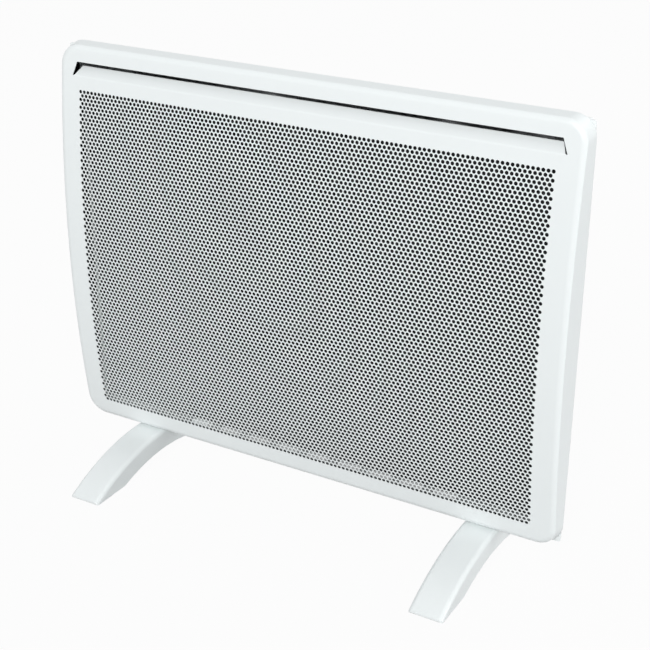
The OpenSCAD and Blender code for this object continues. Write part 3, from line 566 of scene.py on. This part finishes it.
class Finish(Shading):
    """One material. paint() sets its shader's own sockets."""

    def __init__(self, name, **constants):
        self.material = bpy.data.materials.new(name)
        self.material.use_nodes = True
        super().__init__(self.material.node_tree)
        self.shader = self.tree.nodes["Principled BSDF"]
        self.place = self.node("ShaderNodeTexCoord", {}, {}, "Object")
        self.paint(**constants)

    def paint(self, **sockets):
        """Sets or links the shader's sockets by their names, with _ for a space."""
        for key, value in sockets.items():
            self.join(value, self.shader.inputs[key.replace("_", " ")])

    def noise(self, grain, detail=2, stretch=(1, 1, 1)):
        """Uneven values round 0.5. The grain is in millimetres, and stretch is along x, y and z."""
        scale = tuple(1 / share for share in stretch)
        place = self.node("ShaderNodeMapping", {}, {"Vector": self.place, "Scale": scale})
        return self.node("ShaderNodeTexNoise", {}, {
            "Vector": place, "Scale": 1 / (grain * MM), "Detail": detail})

    def blend(self, share, first, second):
        """Colour that goes from the first to the second with the share. For colours, the Mix node has its
        inlets at 0, 6 and 7, and its outlet at 2."""
        return self.node("ShaderNodeMix", {"data_type": "RGBA"}, {0: share, 6: first, 7: second}, 2)

    def relief(self, height, depth, under=None):
        """Bumps on the surface, or on the bumps under them. The depth is in millimetres."""
        sockets = {"Height": height, "Distance": depth * MM, "Strength": 1}
        if under is not None:
            sockets["Normal"] = under
        return self.node("ShaderNodeBump", {}, sockets)


# %% [markdown]
# Powder coat is melted plastic dust: smooth, with a faint orange peel a few millimetres across and a
# finer grain. Its colour is even, so its tint moves by only a percent or two. Moulded plastic is close to
# it, but with a finer, sharper grain where the mould was etched.

# %% Make the white finishes
TINT_WIDTH, TINT_SHADE, TINT_ROUGH = 90, 0.985, 0.05
FINE_GRAIN, GRAIN_ROUGH = 0.9, 0.06


def slots_colour(slot):
    return next(tuple(entry["base_color"][:3]) for entry in record["materials"] if entry["slot"] == slot)


def shade(colour, share):
    return tuple(channel * share for channel in colour)


def coated(name, slot, roughness, peel, peel_depth, grain_depth):
    """Powder coat or smooth moulding: a slow tint, an orange peel and a fine grain."""
    finish = Finish(name)
    colour = slots_colour(slot)
    tint, grain = finish.noise(TINT_WIDTH), finish.noise(FINE_GRAIN)
    waves = finish.relief(finish.noise(peel, 1), peel_depth)
    finish.paint(Base_Color=finish.blend(tint, shade(colour, TINT_SHADE), colour),
                 Roughness=roughness + GRAIN_ROUGH * (grain - 0.5) + TINT_ROUGH * (tint - 0.5),
                 Normal=finish.relief(grain, grain_depth, waves))
    return finish.material


# The numbers are the roughness, the width and depth of the orange peel and the depth of the grain, in mm.
finishes = {
    "front_paint": coated("powder_coat_front", "front_paint", 0.34, 3.2, 0.02, 0.002),
    "tray_paint": coated("powder_coat_tray", "tray_paint", 0.42, 2.6, 0.03, 0.004),
    "foot_plastic": coated("smooth_moulding", "foot_plastic", 0.3, 12, 0.03, 0.002),
    "housing_plastic": coated("etched_moulding", "housing_plastic", 0.46, 1.2, 0.03, 0.012),
    "knob_plastic": coated("knob_moulding", "knob_plastic", 0.28, 9, 0.02, 0.002),
    "ceramic": coated("glazed_steatite", "ceramic", 0.2, 5, 0.05, 0.004),
}
print(len(finishes), "white finishes")


# %% [markdown]
# The dark and metal finishes. The radiant plate wears a dull black coating that gives off heat well. The
# front's inner side gets painted shade, a near-black finish standing in for the shade inside the casing, or
# white would show through the outermost holes. The element's steel is tinted by heat, and rolled and drawn
# metals have fine lines along the way they were made.

# %% Make the dark finishes
SPECKLE_ROUGH = 0.15


def dull(name, slot, roughness, grain, depth, spread=0.3, gloss=0.35):
    """Dull black coating, rubber or moulding, with a fine grain."""
    finish = Finish(name, Specular_IOR_Level=gloss)
    colour = slots_colour(slot)
    speckle = finish.noise(grain, 3)
    finish.paint(Base_Color=finish.blend(speckle, shade(colour, 1 - spread), shade(colour, 1 + spread)),
                 Roughness=roughness + SPECKLE_ROUGH * (speckle - 0.5),
                 Normal=finish.relief(speckle, depth))
    return finish.material


# The numbers are the roughness, and the width and depth of the grain, in mm.
finishes.update({
    "plate_coating": dull("black_radiant_coating", "plate_coating", 0.9, 0.5, 0.02, gloss=0.04),
    "blackened": dull("blackened_steel", "plate_coating", 0.7, 0.4, 0.004, gloss=0.1),
    # Painted shade: the front's inner side is near black, standing in for the shade inside the casing.
    "painted_shade_inside": dull("painted_inner_shade", "plate_coating", 0.8, 0.6, 0.004, gloss=0.05),
    "dark_plastic": dull("black_moulding", "dark_plastic", 0.38, 0.35, 0.008, spread=0.12),
    "black_rubber": dull("black_rubber", "black_rubber", 0.7, 0.25, 0.02),
})
print(len(finishes), "finishes, with the dark ones")


# %% Make the metals
CLOUD_WIDTH, CLOUD_SHADE, CLOUD_ROUGH = 35, 0.88, 0.1
LINE_ROUGH = 0.18
HEAT_TINT = (0.36, 0.27, 0.2)


def metal(name, slot, roughness, grain, stretch, depth=0.004, tint=None):
    """Rolled, drawn or plated metal. The grain is drawn out along stretch."""
    finish = Finish(name, Metallic=1)
    colour = slots_colour(slot)
    lines, cloud = finish.noise(grain, 3, stretch), finish.noise(CLOUD_WIDTH)
    finish.paint(Base_Color=finish.blend(cloud, shade(colour, CLOUD_SHADE), tint or colour),
                 Roughness=roughness + LINE_ROUGH * (lines - 0.5) + CLOUD_ROUGH * (cloud - 0.5),
                 Normal=finish.relief(lines, depth))
    return finish.material


# The numbers are the roughness, the width of the grain in mm, and how far it is drawn out along x, y and z.
finishes.update({
    "alloy": metal("mill_finish_aluminium", "alloy", 0.38, 0.5, (40, 1, 1)),
    "bright_alloy": metal("bright_rolled_aluminium", "bright_alloy", 0.18, 0.4, (60, 1, 1), depth=0.002),
    "sheath_steel": metal("heat_tinted_tube", "sheath_steel", 0.4, 0.4, (30, 1, 1), tint=HEAT_TINT),
    "zinc_steel": metal("zinc_plated_steel", "zinc_steel", 0.3, 0.6, (1, 1, 6)),
    "brass": metal("stamped_brass", "brass", 0.25, 0.3, (1, 1, 12)),
})
print(len(finishes), "finishes, with the metals")


# %% [markdown]
# Two parts need a finish of their own. The control board is green varnish over copper tracks. A picture of
# a real board would be exact, but a Brick node already draws a grid of fine lines, which is all that shows
# through the housing's slots. The indicator's lens is amber plastic, and lets part of the light through.

# %% Make the finishes of the board and the lens
TRACKS_PER_METRE, TRACK_WIDTH, TRACK_HEIGHT = 160, 0.06, 0.05
VARNISH_ROUGH, TRACK_GLOSS, VARNISHED_COPPER = 0.35, 0.1, (0.16, 0.45, 0.22)
LENS_ROUGH, LENS_CLOUDS, LENS_CLOUD_ROUGH, DEEP_AMBER = 0.12, 3, 0.08, (0.9, 0.3, 0.05)
BLACK, WHITE = (0, 0, 0), (1, 1, 1)


def printed_board():
    """Green varnish over copper tracks, which the mortar of a brick pattern draws as lighter lines."""
    finish = Finish("printed_board")
    tracks = finish.node("ShaderNodeTexBrick", {"offset": 0.5}, {
        "Vector": finish.place, "Scale": TRACKS_PER_METRE, "Mortar Size": TRACK_WIDTH,
        "Color1": BLACK, "Color2": BLACK, "Mortar": WHITE})
    finish.paint(Base_Color=finish.blend(tracks, slots_colour("board"), VARNISHED_COPPER),
                 Roughness=VARNISH_ROUGH - TRACK_GLOSS * tracks, Normal=finish.relief(tracks, TRACK_HEIGHT))
    return finish.material


def amber_lens():
    """Clear plastic with a slightly cloudy tint."""
    finish = Finish("amber_lens", IOR=1.49, Transmission_Weight=0.6)
    cloud = finish.noise(LENS_CLOUDS)
    finish.paint(Base_Color=finish.blend(cloud, DEEP_AMBER, slots_colour("lens")),
                 Roughness=LENS_ROUGH + LENS_CLOUD_ROUGH * cloud)
    return finish.material


finishes["board"] = printed_board()
finishes["lens"] = amber_lens()
print(len(finishes), "finishes in all")


# %% [markdown]
# ## Dressing the parts
# The front's pieces get paint outside and painted shade inside. A CAD part whose shape is right stays as
# it is, and only gets its finish, by the name of its slot. The screws that hold the radiant plate are
# blackened, or they would shine through the holes.

# %% Give every part its finish
for piece in bands + [rim]:
    # Outside, the front's paint. Inside, its painted shade.
    piece.data.materials[0], piece.data.materials[1] = finishes["front_paint"], finishes["painted_shade_inside"]

for part in record["subparts"]:
    finish = "blackened" if part["node"] == "plate_screws" else part["material_slot"]
    for held in frame["nodes"][part["node"]].material_slots:
        held.material = finishes[finish]
print(len(bands) + 1, "pieces of the front and", len(record["subparts"]), "CAD parts dressed")


# %% [markdown]
# ## Marks on the controls
# The knob's skirt carries the heat steps 1 to 6, and a printed triangle on the housing points at the
# step that is set. The rocker has the usual bar and ring. Each is a thin layer of ink, and all but the
# numerals have rounded edges. The CAD gives their places: the joints' own axes, and the upper faces of the
# knob and the housing.

# %% Helpers that print
INK, INK_ROUND, INK_STEPS = 0.15, 0.06, 2


def inked(name, body, slot, rounded=True):
    """Prints the piece just added: it rides on the body and has the finish of the slot."""
    piece = start(name)
    if rounded:
        modify(piece, "BEVEL", width=INK_ROUND * MM, segments=INK_STEPS, limit_method="ANGLE")
    piece.data.materials.append(finishes[slot])
    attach(piece, body)
    return piece


def inked_bar(name, body, slot, place, width, length, tilt=0.0):
    """A bar of ink, half of it sunk into the face under it."""
    alone()
    bpy.ops.mesh.primitive_cube_add(size=1, location=mm(*place), rotation=(0, tilt, 0),
                                    scale=mm(width, length, 2 * INK))
    return inked(name, body, slot)


# %% Mark the knob and the housing
KNOB_AT, ROCKER_AT = [Vector(joint["pos_m"]) / MM for joint in record["behaviour"]["joints"]]
KNOB_TOP, HOUSING_TOP = [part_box(node)[1][2] / MM for node in ("thermostat_knob", "control_housing")]
# The knob's skirt: its face over the joint's place, the radius of its middle, and the heat steps on it.
SKIRT, SKIRT_MIDDLE, STEPS, STEP_TURN = 3.0, 15.5, 6, 45
NUMERAL, DOT_R, DOT_CORNERS = 3.0, 0.5, 24
POINTER_OUT, POINTER_WIDTH, POINTER_LENGTH = 7.0, 0.8, 7.5
INDEX_GAP, INDEX_R = 1.6, 1.5


def numeral(step):
    """A number on the skirt, its foot outwards, in the place that comes to the triangle at this step."""
    turn = math.radians(180 + step * STEP_TURN)
    place = KNOB_AT + Vector((SKIRT_MIDDLE * math.cos(turn), SKIRT_MIDDLE * math.sin(turn), SKIRT))
    alone()
    bpy.ops.object.text_add(location=mm(*place), rotation=(0, 0, turn + math.pi / 2))
    text = bpy.context.object.data
    text.body, text.size, text.extrude = str(step), NUMERAL * MM, INK * MM
    text.align_x, text.align_y = "CENTER", "CENTER"
    bpy.ops.object.convert(target="MESH")
    return inked(f"knob_step_{step}", "knob", "dark_plastic", rounded=False)


for step in range(1, STEPS + 1):
    print(size(numeral(step)))
alone()
bpy.ops.mesh.primitive_cylinder_add(vertices=DOT_CORNERS, radius=DOT_R * MM, depth=2 * INK * MM,
                                    location=mm(*(KNOB_AT + Vector((-SKIRT_MIDDLE, 0, SKIRT)))))
print(size(inked("knob_off_dot", "knob", "dark_plastic")))
pointer_at = (KNOB_AT[0], KNOB_AT[1] + POINTER_OUT, KNOB_TOP)
print(size(inked_bar("knob_pointer", "knob", "dark_plastic", pointer_at, POINTER_WIDTH, POINTER_LENGTH)))
alone()
bpy.ops.mesh.primitive_cylinder_add(
    vertices=3, radius=INDEX_R * MM, depth=2 * INK * MM, rotation=(0, 0, -math.pi / 2),
    location=mm(KNOB_AT[0] - SKIRT_MIDDLE - INDEX_GAP - 2 * INDEX_R, KNOB_AT[1], HOUSING_TOP))
print(size(inked("housing_index", "casing", "dark_plastic")))


# %% Mark the rocker
# Its face leans while it is off, and stands this high over its axis. The signs are this far from the axis.
ROCKER_TILT, ROCKER_FACE, SIGN_AT = math.radians(-8), 2.33, 6.2
BAR_WIDTH, BAR_LENGTH = 0.5, 3.2
RING_R, RING_WIRE = 1.4, 0.25


def on_rocker(across):
    """A place on the tilted face of the rocker, across its axis."""
    return ROCKER_AT + Matrix.Rotation(ROCKER_TILT, 3, "Y") @ Vector((across, 0, ROCKER_FACE))


print(size(inked_bar("rocker_bar", "rocker", "knob_plastic", on_rocker(SIGN_AT), BAR_WIDTH, BAR_LENGTH,
                     tilt=ROCKER_TILT)))
alone()
bpy.ops.mesh.primitive_torus_add(major_segments=32, minor_segments=8, major_radius=RING_R * MM,
                                 minor_radius=RING_WIRE * MM, location=mm(*on_rocker(-SIGN_AT)),
                                 rotation=(0, ROCKER_TILT, 0))
bpy.context.object.scale = (1, 1, INK / RING_WIRE)
print(size(inked("rocker_ring", "rocker", "knob_plastic")))


# %% [markdown]
# ## Studio
# A white floor and a white surround, as in a catalogue picture. Light Path tells a ray from the camera
# from one that lights the scene: the camera sees plain white, while the heater is lit by softer light.

# %% Make the surround
SKY, SKY_STRENGTH = (0.96, 0.98, 1), 0.3


def surround():
    """White to the camera, and a soft cool light on the heater."""
    world = bpy.data.worlds.new("surround")
    bpy.context.scene.world = world
    world.use_nodes = True
    shading = Shading(world.node_tree)
    shading.tree.nodes.remove(shading.tree.nodes["Background"])
    soft = shading.node("ShaderNodeBackground", {}, {"Color": SKY, "Strength": SKY_STRENGTH})
    white = shading.node("ShaderNodeBackground", {}, {"Color": WHITE, "Strength": 1})
    mixed = shading.node("ShaderNodeMixShader", {}, {0: shading.seen(), 1: soft, 2: white})
    shading.join(mixed, shading.tree.nodes["World Output"].inputs["Surface"])


surround()
print("surround of strength", SKY_STRENGTH)


# %% Make the floor
FLOOR_WIDTH, PAPER, PAPER_ROUGHNESS = 12, 0.45, 0.9
# How much the floor glows for the camera, and how much of that the painted shadow takes away.
GLOW, SHADOW = 0.96, 0.86
# The edges of the shadow painted on the floor behind the casing, in metres: where each starts, and where
# the painted shadow is full.
# The right-hand edge slants as the camera's view does.
FRONT_EDGE, BACK_EDGE, LEFT_EDGE, RIGHT_EDGE = (0.072, 0.086), (0.32, 0.11), (-0.36, -0.3), (0.268, 0.238)
SLANT, SLANT_FROM = 0.4, 0.1


def floor_finish():
    """White paper: lit as it is, and brightened for the camera so that only soft shadows show. Right behind
    the
    casing a shadow is painted: the brightening is taken away in a soft-edged patch, so the real shadow
    there shows in full and the paper round it is painted darker too. The intakes in the casing's underside
    then look out on something dark."""
    finish = Finish("studio_floor", Roughness=PAPER_ROUGHNESS, Base_Color=(PAPER, PAPER, PAPER))
    x = finish.node("ShaderNodeSeparateXYZ", {}, {"Vector": finish.place}, "X")
    y = x.other("Y")

    def rise(value, start, full):
        return finish.node("ShaderNodeMapRange", {}, {"Value": value, "From Min": start, "From Max": full})

    # The painted shadow's patch: 1 where it is full, 0 outside it.
    behind = (rise(y, *FRONT_EDGE) * rise(y, *BACK_EDGE) * rise(x, *LEFT_EDGE)
              * rise(x + SLANT * (y - SLANT_FROM), *RIGHT_EDGE))
    glow = finish.node("ShaderNodeEmission", {}, {"Strength": 1})
    mixed = finish.node("ShaderNodeMixShader", {}, {
        0: finish.seen() * (GLOW - SHADOW * behind), 1: Value(finish, finish.shader.outputs[0]), 2: glow})
    finish.join(mixed, finish.tree.nodes["Material Output"].inputs["Surface"])
    return finish.material


alone()
bpy.ops.mesh.primitive_plane_add(size=FLOOR_WIDTH)
floor = start("studio_floor")
floor.data.materials.append(floor_finish())
print("floor", FLOOR_WIDTH, "m wide")


# %% Place the lamps
# The numbers are the lamp's place, its width in metres and its power in watts.
AIM = (0, 0, 0.28)
LAMPS = {
    "key_lamp": ((1.52, -5.67, 4.09), 2.4, 345),
    "fill_lamp": ((4.0, 0.5, 0.7), 2.0, 47),
    "back_lamp": ((1.3, 2.6, 1.9), 1.6, 22),
}

for name, (place, width, power) in LAMPS.items():
    light = bpy.data.lights.new(name, "AREA")
    light.shape, light.size, light.energy = "SQUARE", width, power
    lamp = bpy.data.objects.new(name, light)
    lamp.location = place
    lamp.rotation_euler = (Vector(AIM) - Vector(place)).to_track_quat("-Z", "Y").to_euler()
    bpy.context.scene.collection.objects.link(lamp)
bpy.context.scene.view_settings.view_transform = "Standard"
print("lamps:", ", ".join(LAMPS))
